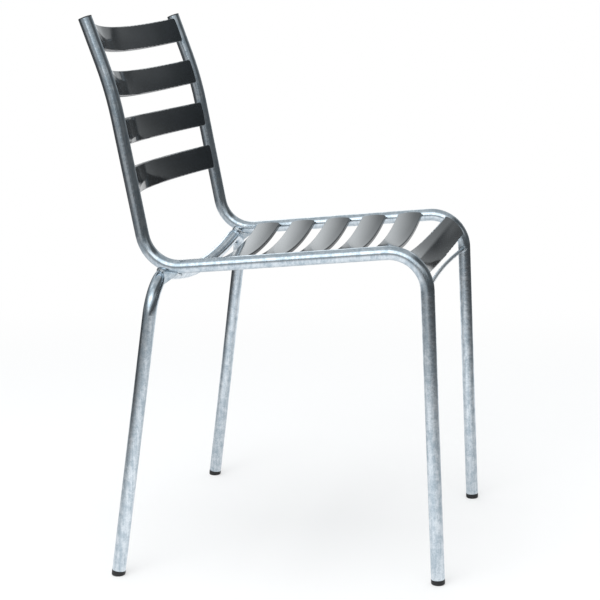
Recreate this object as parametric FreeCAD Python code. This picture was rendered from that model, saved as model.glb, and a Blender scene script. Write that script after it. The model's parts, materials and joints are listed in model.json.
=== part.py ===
import FreeCAD, Part
import math
import os

# Stacking bistro chair: two bent tube side frames, one bent tube rear leg frame under them,
# a thin rod between the front bends and ten bowed slats on small welded tabs.
# Millimetres. X points to the front of the chair, Y to the sitter's left and Z up.
# The origin is on the floor in the middle of the chair's length and width.
# The chair is the same on both sides of the plane y = 0.

# Tube stock
TUBE_OD = 20.0
TUBE_WALL = 1.5

# Side frame, as the centre line of its tube
FRAME_HALF_WIDTH = 209.5
SEAT_REAR_X = -178.0
SEAT_REAR_Z = 452.3
SEAT_LENGTH = 407.5
SEAT_RISE_ANGLE = 5.1
FRONT_LEG_LEAN = 2.2
BACK_LOWER_LENGTH = 262.0
BACK_LOWER_LEAN = 10.6
BACK_UPPER_LENGTH = 108.7
BACK_UPPER_LEAN = 19.8
BACK_CURVE_R = 524.0
SEAT_BEND_R = 54.2

# Rear leg frame, one tube bent into an upside down U with a dished crossbar
REAR_FOOT_X = -223.0
REAR_FOOT_Y = 261.0
REAR_LEG_LEAN = 8.05
REAR_LEG_SPLAY = 2.05
REAR_LEG_BEND_R = 55.0
CROSSBAR_R = 845.0
SADDLE_DEPTH = 0.8
DRAIN_HOLE_D = 5.5
DRAIN_HOLE_DROP = 13.0

# Corner gusset between the seat rail and the rear leg
GUSSET_LENGTH = 43.0
GUSSET_DROP = 34.0
GUSSET_THICK = 4.0
GUSSET_INSET = 5.0

# Weld metal
FRAME_WELD_D = 18.0
ROD_WELD_D = 11.0
ROD_WELD_LENGTH = 4.0
ROD_WELD_ROOT = 3.0
ROD_WELD_LIP = 0.4
GUSSET_WELD_R = 3.2
GUSSET_WELD_LENGTH = 24.0
TAB_WELD_R = 2.4

# Thin rod between the front legs
ROD_D = 6.0
ROD_Z = 429.0
ROD_BOW = 8.6

# Slats
SLAT_EDGE_THICK = 6.4
SLAT_CORNER_R = 1.7
SLAT_PLAN_CORNER_R = 5.0
SLAT_END_GAP = 0.5
BACK_SLAT_COUNT = 4
BACK_SLAT_WIDTH = 39.5
BACK_SLAT_FACE_OFFSET = 4.6
BACK_SLAT_CROWN = 0.8
BACK_SLAT_FIRST = 24.3
BACK_SLAT_PITCH = 72.8
BACK_SLAT_BOW = 33.0
SEAT_SLAT_COUNT = 5
SEAT_SLAT_WIDTH = 40.3
SEAT_SLAT_FACE_OFFSET = 6.0
SEAT_SLAT_CROWN = 2.2
SEAT_SLAT_REAR_MARGIN = 28.9
SEAT_SLAT_FRONT_MARGIN = 29.9
SEAT_SLAT_BOW = 21.8
FRONT_SLAT_WIDTH = 43.0
FRONT_SLAT_ANGLE = 50.2
FRONT_SLAT_FACE_OFFSET = 5.4
FRONT_SLAT_CROWN = 0.8
FRONT_SLAT_END_GAP = 1.1
FRONT_SLAT_BOW = 11.0
FRONT_SLAT_BOW_TILT = 30.0

# Tabs that carry the slats, and the screws in them
TAB_WIDTH = 28.0
TAB_THICK = 3.0
TAB_REACH = 21.0
SCREW_SPACING = 15.0
SCREW_INSET = 11.0
SCREW_SHANK_D = 3.8
SCREW_HOLE_CLEARANCE = 0.15
SCREW_BITE = 3.0
SCREW_HEAD_D = 7.0
SCREW_HEAD_HEIGHT = 2.2
SCREW_SOCKET_WIDTH = 2.5
SCREW_SOCKET_DEPTH = 1.3

# Foot caps and the plugs in the tops of the uprights
CAP_HEIGHT = 8.0
CAP_EDGE_R = 2.5
CAP_LIP = 0.2
PLUG_RIM_HEIGHT = 1.6
PLUG_DOME = 0.9
INSERT_LENGTH = 16.0
INSERT_CLEARANCE = 0.15

# The arc of a rounded slat corner is centred a little short of its radius from each edge, so that
# it crosses them instead of touching them
PLAN_CORNER_INSET = 0.96

UP = FreeCAD.Vector(0, 0, 1)
LATERAL = FreeCAD.Vector(0, 1, 0)
SIDES = {"left": 1, "right": -1}
TUBE_R = TUBE_OD / 2
TUBE_BORE_R = TUBE_R - TUBE_WALL
SLAT_HALF_LENGTH = FRAME_HALF_WIDTH - TUBE_R - SLAT_END_GAP


def vec(x, y, z):
    return FreeCAD.Vector(x, y, z)


def unit(v):
    return v * (1.0 / v.Length)


def lean(angle):
    """Direction that rises at angle degrees behind the vertical, in the XZ plane."""
    return vec(-math.sin(math.radians(angle)), 0, math.cos(math.radians(angle)))


def edge_through(start, middle, end):
    """A straight edge where the three points are in line, else an arc through them."""
    if (middle - start).cross(end - start).Length < 1e-6 * (end - start).Length ** 2:
        return Part.LineSegment(start, end).toShape()
    return Part.Arc(start, middle, end).toShape()


def bent_path(corners, radii):
    """Edges of a tube's centre line: straight runs joined by tangent arcs at the corners."""
    edges = []
    start = corners[0]
    for corner, after, radius in zip(corners[1:-1], corners[2:], radii):
        back = unit(start - corner)
        ahead = unit(after - corner)
        half = back.getAngle(ahead) / 2
        entry = corner + back * (radius / math.tan(half))
        leave = corner + ahead * (radius / math.tan(half))
        centre = corner + unit(back + ahead) * (radius / math.sin(half))
        crown = centre + unit(corner - centre) * radius
        edges.append(Part.LineSegment(start, entry).toShape())
        edges.append(Part.Arc(entry, crown, leave).toShape())
        start = leave
    edges.append(Part.LineSegment(start, corners[-1]).toShape())
    return edges


def station(edges, distance):
    """Point and direction of travel at a distance along a path."""
    for edge in edges:
        if distance <= edge.Length:
            break
        distance -= edge.Length
    parameter = edge.getParameterByLength(distance)
    return edge.valueAt(parameter), edge.tangentAt(parameter)


def round_bar(edges, radius):
    """Solid of a round section swept along a path."""
    first = edges[0]
    start = first.valueAt(first.FirstParameter)
    heading = first.tangentAt(first.FirstParameter)
    ring = Part.Wire(Part.makeCircle(radius, start, heading))
    return Part.Wire(edges).makePipeShell([ring], True, False)


def tube(edges):
    return round_bar(edges, TUBE_R).cut(round_bar(edges, TUBE_BORE_R))


def cylinder(base, direction, radius, length):
    return Part.makeCylinder(radius, length, base, direction)


def cut_all(shape, tools):
    for tool in tools:
        shape = shape.cut(tool)
    return shape


def save(node, solids):
    """Write one node, keeping separate pieces as separate solids."""
    for solid in solids:
        if not solid.isValid():
            raise ValueError("invalid solid in " + node)
    shape = solids[0] if len(solids) == 1 else Part.makeCompound(solids)
    shape.exportStep(os.path.join("parts", node + ".step"))
    volume = sum(solid.Volume for solid in solids)
    print(node, len(solids), "solids", round(volume / 1000.0, 2), "cm3")


# Side frame centre line


def side_corners(side):
    y = side * FRAME_HALF_WIDTH
    rear = vec(SEAT_REAR_X, y, SEAT_REAR_Z)
    kink = rear + lean(BACK_LOWER_LEAN) * BACK_LOWER_LENGTH
    top = kink + lean(BACK_UPPER_LEAN) * BACK_UPPER_LENGTH
    front = rear + lean(SEAT_RISE_ANGLE - 90) * SEAT_LENGTH
    leg = lean(FRONT_LEG_LEAN)
    floor_point = front - leg * (front.z / leg.z)
    return [top, kink, rear, front, floor_point + leg * CAP_HEIGHT]


def side_path(side):
    return bent_path(side_corners(side), [BACK_CURVE_R, SEAT_BEND_R, SEAT_BEND_R])


SIDE_PATH = {name: side_path(side) for name, side in SIDES.items()}
SIDE_OUTER = {name: round_bar(path, TUBE_R) for name, path in SIDE_PATH.items()}
BACK_RUN, BACK_CURVE, LOWER_RUN, REAR_BEND, SEAT_RUN, FRONT_BEND, LEG_RUN = range(7)


# Rear leg frame centre line, drawn in the leaning plane of its two legs

REAR_PLANE_UP = lean(-REAR_LEG_LEAN)


def in_rear_plane(y, height):
    return vec(REAR_FOOT_X, y, 0) + REAR_PLANE_UP * height


def rear_path(bar_height):
    """Edges from the right foot to the left one, for a crossbar with its middle at bar_height."""
    splay = math.radians(REAR_LEG_SPLAY)
    bar_centre = bar_height + CROSSBAR_R
    base_y = REAR_FOOT_Y - REAR_LEG_BEND_R * math.cos(splay)
    base_t = -REAR_LEG_BEND_R * math.sin(splay)
    b = -base_y * math.sin(splay) + (base_t - bar_centre) * math.cos(splay)
    c = base_y ** 2 + (base_t - bar_centre) ** 2 - (CROSSBAR_R + REAR_LEG_BEND_R) ** 2
    run = -b - math.sqrt(b * b - c)
    bend_y = base_y - run * math.sin(splay)
    bend_t = base_t + run * math.cos(splay)
    toward_bar = math.atan2(bar_centre - bend_t, -bend_y)
    middle = (splay + toward_bar) / 2
    halves = []
    for side in (-1, 1):
        points = [in_rear_plane(side * (REAR_FOOT_Y - CAP_HEIGHT * math.sin(splay)),
                                CAP_HEIGHT * math.cos(splay))]
        for angle in (splay, middle, toward_bar):
            points.append(in_rear_plane(side * (bend_y + REAR_LEG_BEND_R * math.cos(angle)),
                                        bend_t + REAR_LEG_BEND_R * math.sin(angle)))
        halves.append(points)
    right, left = halves
    return [Part.LineSegment(right[0], right[1]).toShape(),
            Part.Arc(right[1], right[2], right[3]).toShape(),
            Part.Arc(right[3], in_rear_plane(0, bar_height), left[3]).toShape(),
            Part.Arc(left[3], left[2], left[1]).toShape(),
            Part.LineSegment(left[1], left[0]).toShape()]


def crossing(bar_height):
    """Distance between the centre lines of the rear frame and the left side frame."""
    return Part.Wire(rear_path(bar_height)).distToShape(Part.Wire(SIDE_PATH["left"]))


def touching_height():
    """Crossbar height at which the rear frame's bends press into the seat rails by the saddle."""
    low = SEAT_REAR_Z - 6 * TUBE_OD
    high = SEAT_REAR_Z
    for step in range(40):
        middle = (low + high) / 2
        if crossing(middle)[0] > TUBE_OD - SADDLE_DEPTH:
            low = middle
        else:
            high = middle
    return low


BAR_HEIGHT = touching_height()
REAR_PATH = rear_path(BAR_HEIGHT)
REAR_OUTER = round_bar(REAR_PATH, TUBE_R)


def rear_contact(side):
    """Centre line points of the rear frame and of the seat rail where the two tubes touch."""
    lower, upper = crossing(BAR_HEIGHT)[1][0]
    return [vec(point.x, side * abs(point.y), point.z) for point in (lower, upper)]


# Pieces of the frame


def side_frame(name):
    return tube(SIDE_PATH[name])


def leg_below(side, drop):
    """Centre line point and downward direction at drop millimetres of tube below the contact."""
    edges = [REAR_PATH[3], REAR_PATH[4]]
    contact = rear_contact(1)[0]
    bend = edges[0]
    start = bend.Curve.parameter(contact) - bend.FirstParameter
    travelled = start * REAR_LEG_BEND_R
    point, heading = station(edges, travelled + drop)
    return vec(point.x, side * point.y, point.z), vec(heading.x, side * heading.y, heading.z)


def drain_hole(side):
    """Hole on the inside of the bend, through which the zinc runs out of the tube."""
    point, heading = leg_below(side, DRAIN_HOLE_DROP)
    inward = vec(0, -side, 0)
    inward = unit(inward - heading * inward.dot(heading))
    return cylinder(point, inward, DRAIN_HOLE_D / 2, TUBE_OD)


def rear_frame():
    tools = list(SIDE_OUTER.values()) + [drain_hole(side) for side in SIDES.values()]
    return cut_all(tube(REAR_PATH), tools)


def gusset(name):
    side = SIDES[name]
    corner, rail = rear_contact(side)
    low, heading = leg_below(side, GUSSET_DROP)
    seat_direction = lean(SEAT_RISE_ANGLE - 90)
    ahead = rail + seat_direction * GUSSET_LENGTH
    face_normal = unit((ahead - rail).cross(low - rail))
    shift = face_normal * (GUSSET_THICK / 2) + vec(0, side * GUSSET_INSET, 0)
    outline = [rail - shift, ahead - shift, low - shift, rail - shift]
    plate = Part.Face(Part.makePolygon(outline)).extrude(face_normal * GUSSET_THICK)
    plate = cut_all(plate, [SIDE_OUTER[name], REAR_OUTER])
    return max(plate.Solids, key=lambda solid: solid.Volume)


def contact_station():
    """Distance along the side frame to the place where the rear frame touches it."""
    bend = SIDE_PATH["left"][REAR_BEND]
    turn = bend.Curve.parameter(rear_contact(1)[1]) - bend.FirstParameter
    return sum(edge.Length for edge in SIDE_PATH["left"][:REAR_BEND]) + turn * SEAT_BEND_R


def below_rail(side, distance):
    point, heading = station(SIDE_PATH["left"], distance)
    point = point - heading.cross(LATERAL) * TUBE_R
    return vec(point.x, side * point.y, point.z)


def frame_welds(name, gusset_plate):
    """Weld metal around the crossing of the two tubes and along the rail edge of the gusset."""
    side = SIDES[name]
    lower, upper = rear_contact(side)
    collar = cylinder(lower, unit(upper - lower), FRAME_WELD_D / 2, (upper - lower).Length)
    start = contact_station()
    bead_path = Part.Arc(*[below_rail(side, start + GUSSET_WELD_LENGTH * share)
                           for share in (0, 0.5, 1)]).toShape()
    metal = collar.fuse(round_bar([bead_path], GUSSET_WELD_R))
    return cut_all(metal, [SIDE_OUTER[name], REAR_OUTER, gusset_plate])


def rod_height_on_leg():
    """X of the front leg's centre line at the height of the thin rod."""
    top, kink, rear, front, foot = side_corners(1)
    share = (front.z - ROD_Z) / (front.z - foot.z)
    return front.x + (foot.x - front.x) * share


ROD_X = rod_height_on_leg()


def rod():
    """A ring section turned about a far axis, ended square just where it meets the legs."""
    radius = (FRAME_HALF_WIDTH ** 2 + ROD_BOW ** 2) / (2 * ROD_BOW)
    centre = vec(ROD_X - ROD_BOW + radius, 0, ROD_Z)
    reach = FRAME_HALF_WIDTH - TUBE_R
    half_angle = math.asin((reach - ROD_D / 2 * reach / radius) / radius)
    ring = Part.Wire(Part.makeCircle(ROD_D / 2, vec(ROD_X - ROD_BOW, 0, ROD_Z), LATERAL))
    face = Part.Face(ring)
    face.rotate(centre, UP, math.degrees(half_angle))
    return face.revolve(centre, UP * -1, 2 * math.degrees(half_angle))


def rod_weld(name):
    side = SIDES[name]
    inward = unit(vec(-2 * ROD_BOW / FRAME_HALF_WIDTH, -side, 0))
    end = vec(ROD_X, side * FRAME_HALF_WIDTH, ROD_Z)
    base = end + inward * (TUBE_R - ROD_WELD_ROOT)
    length = ROD_WELD_ROOT + ROD_WELD_LENGTH
    narrow = ROD_D / 2 + ROD_WELD_LIP
    wide = narrow + (ROD_WELD_D / 2 - narrow) * length / ROD_WELD_LENGTH
    cone = Part.makeCone(wide, narrow, length, base, inward)
    return cut_all(cone, [SIDE_OUTER[name], rod()])


# Slats


class SlatPlace:
    """Where a slat lies on the side frame: the map from its section to the XZ plane."""

    def __init__(self, width, end_gap, origin, along, normal, face_offset, crown, bow, bow_direction,
                 bend_centre=None):
        self.width = width
        self.half_length = FRAME_HALF_WIDTH - TUBE_R - end_gap
        self.origin = origin
        self.along = along
        self.normal = normal
        self.face_offset = face_offset
        self.crown = crown
        self.bow = bow
        self.bow_direction = bow_direction
        self.bend_centre = bend_centre

    def place(self, u, v):
        """Point u along the section and v above its underside, at the middle of the slat."""
        height = self.face_offset - SLAT_EDGE_THICK + v
        if self.bend_centre is None:
            point = self.origin + self.along * u + self.normal * height
        else:
            arm = self.origin - self.bend_centre
            turn = u / (arm.Length + self.face_offset)
            reach = arm.Length + height
            point = (self.bend_centre + self.normal * (reach * math.cos(turn))
                     + self.along * (reach * math.sin(turn)))
        return point - self.bow_direction * self.bow

    def axis(self):
        """Point and direction of the axis about which the section turns to give the bow."""
        radius = (SLAT_HALF_LENGTH ** 2 + self.bow ** 2) / (2 * self.bow)
        centre = self.place(0, 0) + self.bow_direction * radius
        return centre, LATERAL.cross(self.bow_direction), radius

    def sweep(self, outline, from_y, to_y):
        """Solid swept by an outline from one distance across the chair to another."""
        centre, direction, radius = self.axis()
        first = math.degrees(math.asin(from_y / radius))
        last = math.degrees(math.asin(to_y / radius))
        face = Part.Face(Part.Wire(outline))
        face.rotate(centre, direction, first)
        return face.revolve(centre, direction, last - first)

    def turned(self, shape, y):
        centre, direction, radius = self.axis()
        shape = shape.copy()
        shape.rotate(centre, direction, math.degrees(math.asin(y / radius)))
        return shape


def section(seat, half_width, low, edge_high, crown, corner):
    """Closed outline of a plate with rounded corners and a crowned upper face."""
    top = edge_high + crown
    shoulder = edge_high + crown * 0.12
    cut = corner * (1 - math.sqrt(0.5))
    stops = [(-half_width + corner, low), (0, low), (half_width - corner, low),
             (half_width - cut, low + cut), (half_width, low + corner),
             (half_width, (low + edge_high) / 2), (half_width, edge_high - corner),
             (half_width - cut, shoulder - cut), (half_width - corner, shoulder),
             (0, top), (-half_width + corner, shoulder),
             (-half_width + cut, shoulder - cut), (-half_width, edge_high - corner),
             (-half_width, (low + edge_high) / 2), (-half_width, low + corner),
             (-half_width + cut, low + cut)]
    points = [seat.place(u, v) for u, v in stops]
    points.append(points[0])
    return [edge_through(*points[i:i + 3]) for i in range(0, len(stops), 2)]


def plate_section(seat, half_width, low, high):
    stops = [(-half_width, low), (0, low), (half_width, low), (half_width, (low + high) / 2),
             (half_width, high), (0, high), (-half_width, high), (-half_width, (low + high) / 2)]
    points = [seat.place(u, v) for u, v in stops]
    points.append(points[0])
    return [edge_through(*points[i:i + 3]) for i in range(0, len(stops), 2)]


def path_start(part):
    return sum(edge.Length for edge in SIDE_PATH["left"][:part])


def straight_seat(distance, width, face_offset, crown, bow):
    point, heading = station(SIDE_PATH["left"], distance)
    origin = vec(point.x, 0, point.z)
    normal = heading.cross(LATERAL)
    return SlatPlace(width, SLAT_END_GAP, origin, heading, normal, face_offset, crown, bow, normal)


def back_seats():
    return [straight_seat(BACK_SLAT_FIRST + i * BACK_SLAT_PITCH, BACK_SLAT_WIDTH,
                          BACK_SLAT_FACE_OFFSET, BACK_SLAT_CROWN, BACK_SLAT_BOW)
            for i in range(BACK_SLAT_COUNT)]


def seat_seats():
    first = path_start(SEAT_RUN) + SEAT_SLAT_REAR_MARGIN
    last = path_start(FRONT_BEND) - SEAT_SLAT_FRONT_MARGIN
    pitch = (last - first) / (SEAT_SLAT_COUNT - 1)
    return [straight_seat(first + i * pitch, SEAT_SLAT_WIDTH, SEAT_SLAT_FACE_OFFSET, SEAT_SLAT_CROWN,
                          SEAT_SLAT_BOW)
            for i in range(SEAT_SLAT_COUNT)]


def front_seat():
    distance = path_start(FRONT_BEND) + math.radians(FRONT_SLAT_ANGLE) * SEAT_BEND_R
    point, heading = station(SIDE_PATH["left"], distance)
    normal = heading.cross(LATERAL)
    origin = vec(point.x, 0, point.z)
    centre = origin - normal * SEAT_BEND_R
    return SlatPlace(FRONT_SLAT_WIDTH, FRONT_SLAT_END_GAP, origin, heading, normal,
                     FRONT_SLAT_FACE_OFFSET, FRONT_SLAT_CROWN, FRONT_SLAT_BOW,
                     lean(-FRONT_SLAT_BOW_TILT), centre)


def screw_places(seat):
    """Axis foot and direction of each screw of one slat end, at the middle of the slat."""
    places = []
    for u in (-SCREW_SPACING / 2, SCREW_SPACING / 2):
        foot = seat.place(u, -TAB_THICK)
        places.append((foot, unit(seat.place(u, 0) - foot)))
    return places


def screw(foot, up):
    shank = cylinder(foot, up, SCREW_SHANK_D / 2, TAB_THICK + SCREW_BITE)
    head = cylinder(foot - up * SCREW_HEAD_HEIGHT, up, SCREW_HEAD_D / 2, SCREW_HEAD_HEIGHT)
    rims = [edge for edge in head.Edges if abs((edge.CenterOfMass - foot).dot(up)) > 1e-3
            and edge.Length > 3 * SCREW_HEAD_D]
    head = head.makeFillet(SCREW_HEAD_HEIGHT * 0.7, rims)
    across = unit(up.cross(LATERAL)) * (SCREW_SOCKET_WIDTH / math.sqrt(3))
    turn = FreeCAD.Rotation(up, 60)
    corners = [across]
    for corner in range(6):
        corners.append(turn.multVec(corners[-1]))
    bottom = foot - up * SCREW_HEAD_HEIGHT
    hexagon = Part.Face(Part.makePolygon([bottom + corner for corner in corners]))
    body = head.fuse(shank).removeSplitter()
    return body.cut(hexagon.extrude(up * SCREW_SOCKET_DEPTH))


def screw_bore(foot, up):
    radius = SCREW_SHANK_D / 2 + SCREW_HOLE_CLEARANCE
    depth = TAB_THICK + SCREW_BITE + SCREW_HOLE_CLEARANCE
    return cylinder(foot - up * SCREW_BITE, up, radius, depth + SCREW_BITE)


def corner_waste(seat, edge, side):
    """What rounding takes off one corner of a slat, at the middle of the slat."""
    inset = SLAT_PLAN_CORNER_R * PLAN_CORNER_INSET
    pivot = seat.place(edge * (seat.width / 2 - inset), 0)
    up = unit(seat.place(edge * (seat.width / 2 - inset), SLAT_EDGE_THICK) - pivot)
    pivot = pivot - up * SLAT_EDGE_THICK - LATERAL * (side * inset)
    out = LATERAL.cross(up) * (edge * 2 * SLAT_PLAN_CORNER_R)
    end = LATERAL * (side * 2 * SLAT_PLAN_CORNER_R)
    square = Part.makePolygon([pivot, pivot + out, pivot + out + end, pivot + end, pivot])
    height = 4 * SLAT_EDGE_THICK
    return Part.Face(square).extrude(up * height).cut(
        cylinder(pivot, up, SLAT_PLAN_CORNER_R, height))


def slat(seat):
    outline = section(seat, seat.width / 2, 0, SLAT_EDGE_THICK, seat.crown, SLAT_CORNER_R)
    body = seat.sweep(outline, -seat.half_length, seat.half_length)
    for side in SIDES.values():
        for edge in (-1, 1):
            waste = corner_waste(seat, edge, side)
            body = body.cut(seat.turned(waste, side * seat.half_length))
        for foot, up in screw_places(seat):
            body = body.cut(seat.turned(screw_bore(foot, up), side * screw_y()))
    return body


def screw_y():
    return SLAT_HALF_LENGTH - SCREW_INSET


def tab(seat, name):
    side = SIDES[name]
    outline = plate_section(seat, TAB_WIDTH / 2, -TAB_THICK, 0)
    inner = SLAT_HALF_LENGTH - TAB_REACH
    outer = FRAME_HALF_WIDTH - TUBE_R / 2
    body = seat.sweep(outline, side * inner, side * outer)
    for foot, up in screw_places(seat):
        body = body.cut(seat.turned(screw_bore(foot, up), side * screw_y()))
    return body.cut(SIDE_OUTER[name])


def tab_weld(seat, name):
    """Bead along the underside of a tab, where it meets the tube."""
    side = SIDES[name]
    corner = vec(0, side * (FRAME_HALF_WIDTH - TUBE_R), 0)
    ends = [seat.turned(Part.Vertex(seat.place(u, -TAB_THICK)), corner.y).Point
            for u in (TAB_WELD_R - TAB_WIDTH / 2, TAB_WIDTH / 2 - TAB_WELD_R)]
    bead = cylinder(ends[0], unit(ends[1] - ends[0]), TAB_WELD_R, (ends[1] - ends[0]).Length)
    return cut_all(bead, [SIDE_OUTER[name], tab(seat, name)])


def screws(seat, name):
    return [seat.turned(screw(foot, up), SIDES[name] * screw_y()) for foot, up in screw_places(seat)]


# Plastic parts in the tube ends


def insert(end, outward):
    radius = TUBE_BORE_R - INSERT_CLEARANCE
    return cylinder(end - outward * INSERT_LENGTH, outward, radius, INSERT_LENGTH)


def foot_cap(end, outward):
    """Cap that closes a leg, cut level with the floor however the leg leans."""
    radius = TUBE_R + CAP_LIP
    body = cylinder(end, outward, radius, 3 * CAP_HEIGHT)
    below = Part.makeBox(6 * TUBE_OD, 6 * TUBE_OD, 6 * TUBE_OD,
                         vec(end.x - 3 * TUBE_OD, end.y - 3 * TUBE_OD, -6 * TUBE_OD))
    body = body.cut(below)
    rim = [edge for edge in body.Edges if edge.BoundBox.ZMax < CAP_LIP / 2]
    body = body.makeFillet(CAP_EDGE_R, rim)
    return body.fuse(insert(end, outward)).removeSplitter()


def top_plug(end, outward):
    rim = cylinder(end, outward, TUBE_R, PLUG_RIM_HEIGHT)
    crown = end + outward * (PLUG_RIM_HEIGHT + PLUG_DOME)
    ball_r = (TUBE_R ** 2 + PLUG_DOME ** 2) / (2 * PLUG_DOME)
    ball = Part.makeSphere(ball_r, crown - outward * ball_r)
    dome = cylinder(end + outward * PLUG_RIM_HEIGHT, outward, TUBE_R, TUBE_R).common(ball)
    return rim.fuse(dome).fuse(insert(end, outward)).removeSplitter()


def path_end(edges, last):
    edge = edges[-1] if last else edges[0]
    parameter = edge.LastParameter if last else edge.FirstParameter
    heading = edge.tangentAt(parameter)
    return edge.valueAt(parameter), heading if last else heading * -1


# Build


def frame_nodes():
    nodes = {"rear_leg_frame": [rear_frame()], "front_cross_rod": [rod()],
             "front_rod_welds": [rod_weld(name) for name in SIDES]}
    for name in SIDES:
        plate = gusset(name)
        nodes["side_frame_" + name] = [side_frame(name)]
        nodes["corner_gusset_" + name] = [plate]
        nodes["frame_welds_" + name] = [frame_welds(name, plate)]
        nodes["front_foot_cap_" + name] = [foot_cap(*path_end(SIDE_PATH[name], True))]
        nodes["rear_foot_cap_" + name] = [foot_cap(*path_end(REAR_PATH, name == "left"))]
        nodes["upright_plug_" + name] = [top_plug(*path_end(SIDE_PATH[name], False))]
    return nodes


def slat_nodes(group, seats):
    nodes = {}
    for number, seat in enumerate(seats, 1):
        node = group + "_slat" if len(seats) == 1 else "%s_slat_%d" % (group, number)
        nodes[node] = [slat(seat)]
    for name in SIDES:
        nodes["%s_slat_tabs_%s" % (group, name)] = [tab(seat, name) for seat in seats]
        nodes["%s_tab_welds_%s" % (group, name)] = [tab_weld(seat, name) for seat in seats]
        pieces = [piece for seat in seats for piece in screws(seat, name)]
        nodes["%s_slat_screws_%s" % (group, name)] = pieces
    return nodes


def main():
    os.makedirs("parts", exist_ok=True)
    nodes = frame_nodes()
    nodes.update(slat_nodes("back", back_seats()))
    nodes.update(slat_nodes("seat", seat_seats()))
    nodes.update(slat_nodes("front", [front_seat()]))
    boxes = [shape.optimalBoundingBox(False, False) for shapes in nodes.values() for shape in shapes]
    ahead = max(box.XMax for box in boxes)
    behind = min(box.XMin for box in boxes)
    to_middle = vec(-(ahead + behind) / 2, 0, 0)
    for node, shapes in nodes.items():
        solids = [solid for shape in shapes for solid in shape.Solids]
        save(node, [solid.translated(to_middle) for solid in solids])
    print("moved along X by", round(to_middle.x, 3), "length", round(ahead - behind, 2))


main()
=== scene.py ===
# %% [markdown]
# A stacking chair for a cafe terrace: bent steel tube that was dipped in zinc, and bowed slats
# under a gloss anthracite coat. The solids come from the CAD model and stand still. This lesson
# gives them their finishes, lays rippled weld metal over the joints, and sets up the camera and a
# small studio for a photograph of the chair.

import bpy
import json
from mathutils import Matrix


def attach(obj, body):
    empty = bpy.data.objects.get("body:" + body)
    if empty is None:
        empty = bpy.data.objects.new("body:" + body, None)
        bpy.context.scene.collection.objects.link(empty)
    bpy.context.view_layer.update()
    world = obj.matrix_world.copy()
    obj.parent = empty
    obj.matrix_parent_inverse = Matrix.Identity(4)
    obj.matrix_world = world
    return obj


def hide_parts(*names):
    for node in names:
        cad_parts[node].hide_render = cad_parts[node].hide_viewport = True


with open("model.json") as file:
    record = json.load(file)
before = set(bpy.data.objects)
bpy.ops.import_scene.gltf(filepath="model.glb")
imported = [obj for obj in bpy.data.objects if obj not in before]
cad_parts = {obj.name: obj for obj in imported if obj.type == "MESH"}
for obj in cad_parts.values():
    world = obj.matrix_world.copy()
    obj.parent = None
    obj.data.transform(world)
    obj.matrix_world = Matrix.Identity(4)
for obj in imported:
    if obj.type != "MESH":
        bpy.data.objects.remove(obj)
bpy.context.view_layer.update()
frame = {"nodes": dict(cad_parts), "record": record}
nodes = frame["nodes"]

# %% [markdown]
# The frame is in metres, so the lesson works in metres and writes small sizes with MM. The bmesh
# module cleans and builds meshes. The mathutils module gives vectors, matrices and a noise that
# comes out the same in every run. The Standard view keeps white paper plain white.

# %% Modules and units
import json
import math

import bmesh
import bpy
from mathutils import Matrix, Vector, noise

MM = 0.001
scene = bpy.context.scene
scene.view_settings.view_transform = "Standard"
print("view transform", scene.view_settings.view_transform)

# %% [markdown]
# The camera stands where the photographer's stood. Its place, turn and focal length were solved
# from edges of the tubes, so a chair drawn to the same numbers falls on the photograph. A
# camera's local X and Y are the picture's right and up, and it looks along its local -Z, so its
# matrix can be filled with these three directions.

# %% Camera
CAMERA_PLACE = Vector((0.56168, -2.36632, 0.82213))
CAMERA_YAW = math.radians(12.97)
CAMERA_PITCH = math.radians(10.48)
CAMERA_ROLL = math.radians(-0.69)
FOCAL_PIXELS = 1575.09
PHOTO_PIXELS = 600
SENSOR_WIDTH_MM = 36.0

facing = Matrix.Rotation(CAMERA_YAW, 3, "Z") @ Matrix.Rotation(-CAMERA_PITCH, 3, "X")
forward = facing @ Vector((0, 1, 0))
right = facing @ Vector((1, 0, 0))
up = right.cross(forward)
picture_right = right * math.cos(CAMERA_ROLL) + up * math.sin(CAMERA_ROLL)
picture_up = up * math.cos(CAMERA_ROLL) - right * math.sin(CAMERA_ROLL)

camera_data = bpy.data.cameras.new("photo_camera")
camera_data.sensor_width = SENSOR_WIDTH_MM
camera_data.lens = FOCAL_PIXELS * SENSOR_WIDTH_MM / PHOTO_PIXELS
camera = bpy.data.objects.new("photo_camera", camera_data)
scene.collection.objects.link(camera)
turn = Matrix((picture_right, picture_up, -forward)).transposed()
camera.matrix_world = Matrix.Translation(CAMERA_PLACE) @ turn.to_4x4()
scene.camera = camera
print("lens", round(camera_data.lens, 2), "mm")

# %% [markdown]
# Shader maths reads best as Python expressions. A small class wraps a socket: adding, multiplying
# or subtracting two of them, or one and a number, adds the Math node that does it. The reflected
# forms let a number stand first, as in 1 - mask.

# %% Sockets with arithmetic
class Value:
    """A socket of a node tree that takes part in Python arithmetic."""

    def __init__(self, finish, socket):
        self.finish = finish
        self.socket = socket

    def __add__(self, other):
        return self.finish.math("ADD", self, other)

    def __radd__(self, other):
        return self.finish.math("ADD", other, self)

    def __sub__(self, other):
        return self.finish.math("SUBTRACT", self, other)

    def __rsub__(self, other):
        return self.finish.math("SUBTRACT", other, self)

    def __mul__(self, other):
        return self.finish.math("MULTIPLY", self, other)

    def __rmul__(self, other):
        return self.finish.math("MULTIPLY", other, self)

    def __truediv__(self, other):
        return self.finish.math("DIVIDE", self, other)

    def __pow__(self, other):
        return self.finish.math("POWER", self, other)


# %% [markdown]
# A finish is a tree of nodes. One method adds any node: its settings are made first, because they
# decide which sockets it has, and then each socket gets a value or a link. The other methods are
# short names for the nodes that this lesson repeats.

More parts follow.
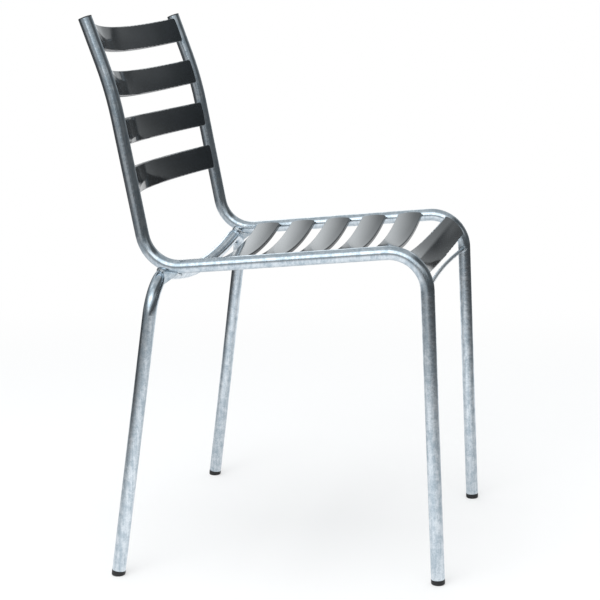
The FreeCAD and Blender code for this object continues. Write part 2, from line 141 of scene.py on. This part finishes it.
# %% Node trees
class Finish:
    """A node tree, with one method that adds any node."""

    def __init__(self, tree):
        self.tree = tree

    def node(self, kind, settings=None, sockets=None, output=0):
        made = self.tree.nodes.new(kind)
        for name, setting in (settings or {}).items():
            setattr(made, name, setting)
        for name, given in (sockets or {}).items():
            self.feed(made.inputs[name], given)
        return Value(self, made.outputs[output])

    def feed(self, socket, given):
        if isinstance(given, Value):
            self.tree.links.new(given.socket, socket)
        else:
            socket.default_value = given

    def math(self, operation, *values):
        sockets = dict(enumerate(values))
        return self.node("ShaderNodeMath", {"operation": operation}, sockets)

    def vector(self, operation, *values, output=0):
        sockets = dict(enumerate(values))
        return self.node("ShaderNodeVectorMath", {"operation": operation}, sockets, output)

    def axes(self, vector):
        """The X, Y and Z of a vector."""
        first = self.node("ShaderNodeSeparateXYZ", {}, {0: vector})
        return [Value(self, socket) for socket in first.socket.node.outputs]

    def smooth(self, value, low, high):
        """0 below low, 1 above high and a smooth rise between them. Low may be the larger."""
        sockets = {"Value": value, "From Min": low, "From Max": high}
        return self.node("ShaderNodeMapRange", {"interpolation_type": "SMOOTHSTEP"}, sockets)

    def window(self, value, low_off, low_on, high_on, high_off):
        """1 between low_on and high_on, 0 outside low_off and high_off."""
        return self.smooth(value, low_off, low_on) * self.smooth(value, high_off, high_on)

    def mix(self, share, first, second):
        """A colour that goes from first to second."""
        sockets = {"Factor": share, 6: first, 7: second}
        return self.node("ShaderNodeMix", {"data_type": "RGBA"}, sockets, output=2)

    def blend(self, share, first, second):
        """A shader that goes from first to second."""
        return self.node("ShaderNodeMixShader", {}, {0: share, 1: first, 2: second})

    def noise(self, coords, scale, detail, rough):
        sockets = {"Vector": coords, "Scale": scale, "Detail": detail, "Roughness": rough}
        return self.node("ShaderNodeTexNoise", {}, sockets)

    def stretched(self, coords, scale):
        """Coordinates scaled along each axis, to draw a pattern out along one of them."""
        sockets = {"Vector": coords, "Scale": scale}
        return self.node("ShaderNodeMapping", {"vector_type": "POINT"}, sockets)

    def bump(self, height, strength, distance):
        sockets = {"Height": height, "Strength": strength, "Distance": distance}
        return self.node("ShaderNodeBump", {}, sockets)

    def ray(self, kind):
        """1 for rays of one kind, 0 for the others."""
        return self.node("ShaderNodeLightPath", output=kind)

    def output(self, kind, shader):
        out = self.tree.nodes.new(kind)
        self.tree.links.new(shader.socket, out.inputs["Surface"])


# %% [markdown]
# A material starts from an empty tree, so that nothing is in it that the lesson hasn't added. Its
# patterns use the coordinates of the object, in metres, so that a crystal of zinc has the same
# size on a thick tube and on a small tab.

# %% New materials
def new_finish(name):
    """A material with an empty tree, its Finish and its Object coordinates."""
    material = bpy.data.materials.new(name)
    material.use_nodes = True
    material.node_tree.nodes.clear()
    finish = Finish(material.node_tree)
    coords = finish.node("ShaderNodeTexCoord", output="Object")
    return material, finish, coords


def coated(finish, colour, metallic, rough, normal):
    """Ends a material in one Principled shader."""
    sockets = {"Base Color": colour, "Metallic": metallic, "Roughness": rough, "Normal": normal}
    shader = finish.node("ShaderNodeBsdfPrincipled", {}, sockets)
    finish.output("ShaderNodeOutputMaterial", shader)


# %% [markdown]
# The rear leg frame has a drain hole on the inside of each bend, where the hot zinc ran out.
# Little light gets in, so the wall one sees through the hole lies in shade. That shade is painted
# into its colour as a near black. The frame is one solid with one finish, so a mask picks that
# wall: points that are near the hole along the tube, and closer to the tube's middle line than
# its outer skin is.

# %% Painted shade on the inner wall behind the drain holes
PAINTED_HOLE_SHADE = (0.05, 0.055, 0.06, 1)
SKIN_TO_WALL = (9.6 * MM, 9.2 * MM)
NEAR_THE_HOLE = (-7 * MM, -5 * MM, 5 * MM, 7 * MM)
VENTS = [((-0.1425, side * 0.2172, 0.4383), (side * -0.0644, 0.888, side * -0.4554))
         for side in (-1, 1)]


def inside_tube(f, coords, centre, heading):
    """1 on the inner wall of a tube near centre, where the tube runs along heading."""
    arm = f.vector("SUBTRACT", coords, centre)
    along = f.vector("DOT_PRODUCT", arm, heading, output="Value")
    radius = f.vector("LENGTH", f.vector("CROSS_PRODUCT", arm, heading), output="Value")
    return f.smooth(radius, *SKIN_TO_WALL) * f.window(along, *NEAR_THE_HOLE)


print("drain holes at", [centre for centre, heading in VENTS])

# %% [markdown]
# Hot dip galvanised tube is bright but never even. The zinc runs off in long soft streaks, sets
# in small crystals, and clouds over in blue grey patches that are rougher than the rest. Most of
# the mottling one sees is not paint-like: the skin is gently wavy, so each patch mirrors another
# part of the room. So the colour changes little, and a soft bump and the roughness do most of the
# work.

# %% Galvanised steel
CLOUD_SHARE, STREAK_SHARE = 0.55, 0.45
CLOUD_EDGE = (0.38, 0.62)
CRYSTAL_SHARE = 0.25
CRYSTALS_PER_METRE = 520.0
STREAK_STRETCH = (240.0, 240.0, 30.0)
WAVE_HEIGHT = 0.5 * MM


def zinc(name, bright, dull, gloss, haze, ripple, vents=()):
    """Zinc that goes from bright and glossy to dull and hazy, on a skin with gentle ripples, and
    with painted shade on the inner wall behind any vents.
    """
    material, f, coords = new_finish(name)
    clouds = f.noise(coords, scale=80.0, detail=4.0, rough=0.65)
    streaks = f.noise(f.stretched(coords, STREAK_STRETCH), scale=1.0, detail=3.0, rough=0.6)
    sockets = {"Vector": coords, "Scale": CRYSTALS_PER_METRE}
    cells = f.node("ShaderNodeTexVoronoi", {}, sockets, output="Color")
    crystals = f.node("ShaderNodeSeparateColor", {}, {"Color": cells})
    cloudy = f.smooth(clouds * CLOUD_SHARE + streaks * STREAK_SHARE, *CLOUD_EDGE)
    mottled = cloudy * (1 - CRYSTAL_SHARE) + crystals * CRYSTAL_SHARE
    colour = f.mix(mottled, bright, dull)
    # Painted shade: behind each vent the inner wall is coloured near black, where little light
    # reaches.
    for vent in vents:
        colour = f.mix(inside_tube(f, coords, *vent), colour, PAINTED_HOLE_SHADE)
    rough = gloss + (haze - gloss) * mottled
    wavy = f.noise(coords, scale=160.0, detail=3.0, rough=0.5)
    coated(f, colour, 1.0, rough, f.bump(wavy, ripple, WAVE_HEIGHT))
    return material


TUBE = {"bright": (0.80, 0.86, 0.91, 1), "dull": (0.47, 0.56, 0.63, 1),
        "gloss": 0.09, "haze": 0.24, "ripple": 0.30}
tube_zinc = zinc("galvanised_tube", **TUBE)
vent_shade_zinc = zinc("galvanised_tube_painted_vent_shade", **TUBE, vents=VENTS)
sheet_zinc = zinc("galvanised_sheet", bright=(0.72, 0.78, 0.83, 1), dull=(0.42, 0.50, 0.56, 1),
                  gloss=0.20, haze=0.38, ripple=0.6)
weld_zinc = zinc("galvanised_weld", bright=(0.84, 0.88, 0.91, 1), dull=(0.46, 0.53, 0.58, 1),
                 gloss=0.14, haze=0.32, ripple=0.9)
screw_steel = zinc("bright_screw", bright=(0.72, 0.72, 0.70, 1), dull=(0.55, 0.56, 0.55, 1),
                   gloss=0.18, haze=0.30, ripple=0.08)
print("metal finishes made")

# %% [markdown]
# The slats wear a smooth anthracite powder coat with a hard gloss. Such a coat is never quite
# flat: it has a fine orange peel that only shows in a reflection. So its colour hardly varies,
# and a very weak bump and a little change of roughness do the work. Moulded plastic has the same
# make-up, with a far rougher skin, so the foot caps and the plugs use the same recipe.

# %% Gloss coat and plastic
PATCH_EDGE = (0.35, 0.7)
PEEL_HEIGHT = 0.1 * MM


def coat(name, base, lighter, smoothest, roughest, peel):
    """An even coat that goes from base to lighter, with an orange peel of strength peel."""
    material, f, coords = new_finish(name)
    clouds = f.noise(coords, scale=24.0, detail=3.0, rough=0.5)
    colour = f.mix(f.smooth(clouds, *PATCH_EDGE), base, lighter)
    wear = f.noise(coords, scale=60.0, detail=4.0, rough=0.6)
    rough = smoothest + (roughest - smoothest) * f.smooth(wear, *PATCH_EDGE)
    grain = f.noise(coords, scale=700.0, detail=2.0, rough=0.5)
    coated(f, colour, 0.0, rough, f.bump(grain, peel, PEEL_HEIGHT))
    return material


slat_coat = coat("anthracite_coat", (0.014, 0.018, 0.021, 1), (0.018, 0.022, 0.026, 1),
                 smoothest=0.05, roughest=0.09, peel=0.03)
foot_plastic = coat("black_foot_plastic", (0.008, 0.008, 0.009, 1), (0.014, 0.014, 0.015, 1),
                    smoothest=0.42, roughest=0.58, peel=0.35)
plug_plastic = coat("grey_plug_plastic", (0.030, 0.034, 0.037, 1), (0.040, 0.045, 0.048, 1),
                    smoothest=0.38, roughest=0.52, peel=0.30)
print("coat and plastic finishes made")

# %% [markdown]
# The record says which material slot each CAD piece has, so one table turns slots into finishes.
# Only the rear leg frame differs from its slot, because only there does one see into the tube,
# whose inner wall gets painted shade.

# %% Finishes on the CAD nodes
VENTED_NODE = "rear_leg_frame"
FINISH_OF_SLOT = {"tube_zinc": tube_zinc, "bracket_zinc": sheet_zinc, "weld_zinc": weld_zinc,
                  "screw_steel": screw_steel, "slat_paint": slat_coat,
                  "foot_plastic": foot_plastic, "plug_plastic": plug_plastic}
for part in frame["record"]["subparts"]:
    mesh = nodes[part["node"]].data
    mesh.materials.clear()
    vented = part["node"] == VENTED_NODE
    mesh.materials.append(vent_shade_zinc if vented else FINISH_OF_SLOT[part["material_slot"]])

# %% [markdown]
# The CAD draws weld metal as smooth collars and cones. Real weld metal freezes in small
# overlapping puddles, so its skin is lumpy and finely rippled. Modelling each puddle would take
# hundreds of shapes. It is simpler to keep the CAD's form and rebuild its surface as a fine even
# net, with a voxel Remesh. Doubled points are joined first, because the Remesh needs a closed
# skin.

# %% Fine net over a CAD form
JOIN_DISTANCE = 0.01 * MM


def fine_net(name, node, voxel):
    """A new piece with the form of a CAD node, in even faces of about the voxel's size."""
    skin = bmesh.new()
    skin.from_mesh(nodes[node].data)
    bmesh.ops.remove_doubles(skin, verts=skin.verts, dist=JOIN_DISTANCE)
    bmesh.ops.recalc_face_normals(skin, faces=skin.faces)
    mesh = bpy.data.meshes.new(name)
    skin.to_mesh(mesh)
    skin.free()
    piece = bpy.data.objects.new(name, mesh)
    scene.collection.objects.link(piece)
    net = piece.modifiers.new("fine_net", "REMESH")
    net.mode = "VOXEL"
    net.voxel_size = voxel
    depsgraph = bpy.context.evaluated_depsgraph_get()
    fine = bpy.data.meshes.new_from_object(piece.evaluated_get(depsgraph))
    piece.modifiers.clear()
    piece.data = fine
    return piece


# %% [markdown]
# Each point of the net then moves in or out by a noise with coarse lumps and fine ripples. All
# moves are worked out before the first point moves, so that every one follows the skin's first
# normals.

# %% Rippled weld metal
LUMPS_PER_METRE = 260.0
RIPPLES_PER_METRE = 900.0


def rippled_weld(name, node, voxel, lump, ripple):
    """Weld metal in place of a CAD node, with lumps and ripples of the given heights."""
    piece = fine_net(name, node, voxel)
    fine = piece.data
    moves = []
    for point in fine.vertices:
        coarse = noise.noise(point.co * LUMPS_PER_METRE)
        close = noise.noise(point.co * RIPPLES_PER_METRE)
        moves.append(point.normal * (lump * coarse + ripple * close))
    for point, move in zip(fine.vertices, moves):
        point.co += move
    fine.materials.clear()
    fine.materials.append(weld_zinc)
    for face in fine.polygons:
        face.use_smooth = True
    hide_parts(node)
    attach(piece, "root")
    print(name, len(fine.polygons), "faces")


for side in ("left", "right"):
    rippled_weld("rippled_frame_weld_" + side, "frame_welds_" + side,
                 voxel=0.45 * MM, lump=1.1 * MM, ripple=0.35 * MM)
rippled_weld("rippled_rod_welds", "front_rod_welds",
             voxel=0.3 * MM, lump=0.9 * MM, ripple=0.3 * MM)

# %% [markdown]
# The studio stands on white paper that runs far past the picture, so that no edge of it shows. It
# belongs to the stage, not to the chair.

# %% Paper floor
FLOOR_REACH = 60.0

floor_shape = bmesh.new()
bmesh.ops.create_grid(floor_shape, x_segments=1, y_segments=1, size=FLOOR_REACH)
floor_mesh = bpy.data.meshes.new("studio_floor")
floor_shape.to_mesh(floor_mesh)
floor_shape.free()
floor = bpy.data.objects.new("studio_floor", floor_mesh)
scene.collection.objects.link(floor)
print("floor reaches", FLOOR_REACH, "m each way")

# %% [markdown]
# Metal shows its surroundings, so the paper matters as much as the lamps. Its light was read off
# the undersides of the tubes: each pixel of a tube looks at a known place, and its brightness
# says how bright the paper is there. The lamps light a pool round the chair, and it fades away to
# the sides. A little more light lies towards the camera, and the paper runs up into the white
# backdrop behind.

# %% Light on the paper
POOL_CENTRE = (0.0, -0.55, 0.0)
POOL_RADIUS = 1.35
POOL_FALL = 1.7
POOL_LEVEL = 0.98
DIM_LEVEL = 0.07
NEAR_LEVEL = 0.3

floor_paper, f, coords = new_finish("white_paper")
reach = f.vector("LENGTH", f.vector("SUBTRACT", coords, POOL_CENTRE), output="Value")
across, away, _ = f.axes(coords)
pool = f.math("EXPONENT", -1.0 * (reach / POOL_RADIUS) ** POOL_FALL)
to_camera = NEAR_LEVEL * f.smooth(away, -1.2, -3.2) * f.smooth(across, 1.5, -0.5)
to_backdrop = f.window(across, -2.0, -0.8, 0.6, 1.6) * f.smooth(away, 0.0, 1.0)
paper_light = (DIM_LEVEL + POOL_LEVEL * pool + to_camera) * (1.0 - to_backdrop) + to_backdrop
print("pool of light round", POOL_CENTRE)

# %% [markdown]
# Three kinds of ray meet the paper. A mirrored ray sees the light worked out above. A ray from
# the camera sees plain white far from the chair, and near it a blend of white and of real paper,
# which keeps the chair's soft shadow. Any other ray sees real paper, which throws light back up.

# %% Paper as each ray sees it
REFLECTED_TINT = (0.97, 0.985, 1.0, 1)
PAPER_WHITE = (0.93, 0.93, 0.93, 1)
PLAIN_WHITE = (1, 1, 1, 1)
NEAR_WHITE_SHARE = 0.5
SHADOW_EDGE = (1.2, 2.6)

light = {"Color": REFLECTED_TINT, "Strength": paper_light}
reflected = f.node("ShaderNodeEmission", {}, light)
paper = f.node("ShaderNodeBsdfDiffuse", {}, {"Color": PAPER_WHITE})
white = f.node("ShaderNodeEmission", {}, {"Color": PLAIN_WHITE, "Strength": 1.0})
far_from_chair = f.smooth(reach, *SHADOW_EDGE)
white_share = NEAR_WHITE_SHARE + (1 - NEAR_WHITE_SHARE) * far_from_chair
direct = f.blend(white_share * f.ray("Is Camera Ray"), paper, white)
shown = f.blend(f.ray("Is Glossy Ray"), direct, reflected)
f.output("ShaderNodeOutputMaterial", shown)
floor_mesh.materials.append(floor_paper)
print("paper", floor_paper.name)

# %% [markdown]
# The rest of the room is a world shader, because a mirrored ray that misses the paper only has a
# direction. Its height is an angle above the floor, and its bearing an angle round the chair,
# both in degrees. The bearing is counted twice, once from the side away from the camera and once
# from the camera's side, so that no light in the room crosses the jump at 180. A ceiling is flat,
# so it goes by how far forward a ray gets for each metre it rises.

# %% Directions in the room
DEGREES = math.degrees(1.0)

world = bpy.data.worlds.new("studio_room")
world.use_nodes = True
world.node_tree.nodes.clear()
scene.world = world
w = Finish(world.node_tree)
x, y, z = w.axes(w.node("ShaderNodeTexCoord", output="Generated"))
rise = w.math("ARCSINE", z) * DEGREES
from_back = w.math("ARCTAN2", x, y) * DEGREES
from_front = w.math("ARCTAN2", x, -1.0 * y) * DEGREES
forward_per_height = x / z
print("world", world.name)

# %% [markdown]
# What hangs in the room was read off the tubes and the slats in the same way. A large softbox
# hangs above the camera, a little to its left, and a small lamp hangs higher and further left. A
# white backdrop stands behind the chair to the left, over a faint horizon, and a dim ceiling runs
# across. The right side is nearly dark but for two faint panels, which draws the dark lines along
# the tubes. Each light is a soft window on the angles: four edges say where it starts to open,
# where it is open, where it starts to close and where it is shut.

# %% Lights that the metal mirrors
ROOM_LEVEL = 0.11
SPOT_EDGE = (1.7, 0.3)


def oval(bearing, height, half_width, half_height, level):
    """A soft oval light on the camera's side, with its middle and half sizes in degrees."""
    aside = (from_front - bearing) / half_width
    above = (rise - height) / half_height
    return level * w.smooth((aside * aside + above * above) ** 0.5, *SPOT_EDGE)


def standing(bearings, fade, level):
    """A light that stands on the floor between bearings and fades out from fade[0] to fade[1]."""
    return level * w.window(from_back, *bearings) * w.smooth(rise, fade[1], fade[0])


def panel(bearings, heights, level):
    """A light that hangs between bearings and between heights."""
    return level * w.window(from_back, *bearings) * w.window(rise, *heights)


lights = {
    "ceiling": 0.38 * w.window(forward_per_height, -2.6, -0.9, 0.45, 0.8),
    "left wall": 0.1 * w.window(from_back, -178.0, -150.0, -40.0, -12.0),
    "softbox": oval(-8.0, 31.0, half_width=37.0, half_height=23.0, level=1.2),
    "left lamp": oval(-76.0, 53.0, half_width=16.0, half_height=9.0, level=0.5),
    "backdrop": standing((-36.0, -27.0, -26.0, 0.0), fade=(24.0, 44.0), level=1.4),
    "horizon": standing((-36.0, -20.0, 20.0, 60.0), fade=(-2.0, 10.0), level=0.2),
    "side panel": panel((8.0, 16.0, 30.0, 58.0), (2.0, 16.0, 34.0, 46.0), level=0.24),
    "right panel": panel((96.0, 116.0, 136.0, 160.0), (8.0, 20.0, 28.0, 38.0), level=0.26),
}
glow = sum(lights.values(), ROOM_LEVEL)
print(", ".join(lights), "over a room of", ROOM_LEVEL)

# %% [markdown]
# Only mirrored and scattered rays see this room. The camera itself sees plain white behind the
# chair, as in the photograph, whose background is pure white.

# %% World as each ray sees it
ROOM_TINT = (0.93, 0.975, 1.0, 1)

unseen = w.node("ShaderNodeBackground", {}, {"Color": ROOM_TINT, "Strength": glow})
behind = w.node("ShaderNodeBackground", {}, {"Color": PLAIN_WHITE, "Strength": 1.0})
w.output("ShaderNodeOutputWorld", w.blend(w.ray("Is Camera Ray"), unseen, behind))
print("room made")

# %% [markdown]
# Two real lamps give the soft shadow: a large softbox above the camera and to its left, and a
# larger one overhead. The room already holds what the metal mirrors, so the lamps are hidden from
# mirrored rays, or each would show twice.

# %% Lamps
def softbox(name, place, aim, width, height, watts):
    """A rectangular lamp at place that shines towards aim."""
    lamp = bpy.data.lights.new(name, "AREA")
    lamp.shape = "RECTANGLE"
    lamp.size, lamp.size_y = width, height
    lamp.energy = watts
    holder = bpy.data.objects.new(name, lamp)
    holder.location = place
    holder.rotation_euler = (Vector(aim) - Vector(place)).to_track_quat("-Z", "Y").to_euler()
    holder.visible_glossy = False
    scene.collection.objects.link(holder)
    print(name, watts, "W")


softbox("front_softbox", place=(-0.5, -2.4, 2.1), aim=(0.0, 0.0, 0.4),
        width=2.2, height=1.6, watts=30.0)
softbox("overhead_softbox", place=(0.0, -0.2, 3.2), aim=(0.0, 0.0, 0.0),
        width=3.0, height=3.0, watts=60.0)
